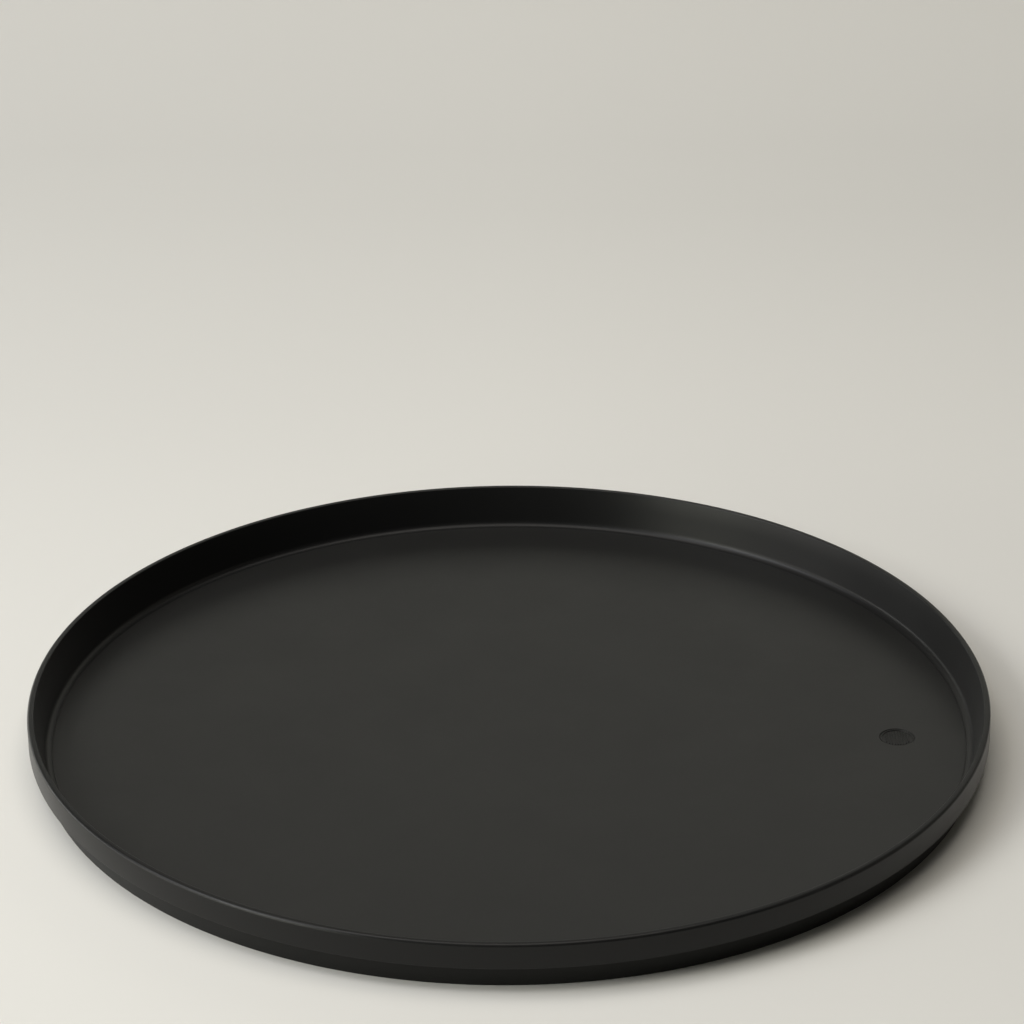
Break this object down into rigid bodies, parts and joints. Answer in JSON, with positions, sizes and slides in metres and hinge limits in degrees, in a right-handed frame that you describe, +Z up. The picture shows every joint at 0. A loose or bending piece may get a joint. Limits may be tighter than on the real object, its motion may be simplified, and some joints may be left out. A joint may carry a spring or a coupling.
{
  "type": "serving tray",
  "caption": "Large round serving tray with a low upright rim, a flat lip, a non-slip mat on the floor and a soft non-slip ring round its base.",
  "frame": {"origin": "centre of the circle on which the tray stands, on the table plane", "axes": "+Z up out of the tray's floor; +X from the centre towards the emblem's side of the floor; +Y completes a right-handed frame"},
  "size_m": [0.4, 0.4, 0.021],
  "materials": {
    "shell_plastic": "satin black moulded plastic with a fine texture",
    "mat_elastomer": "soft matt black non-slip mat",
    "ring_elastomer": "matt black soft ring",
    "emblem_plastic": "satin black moulded plastic"
  },
  "bodies": {
    "root": {"tray_shell": "shell_plastic", "floor_liner": "mat_elastomer", "base_ring": "ring_elastomer", "emblem_disc": "emblem_plastic"}
  },
  "joints": []
}
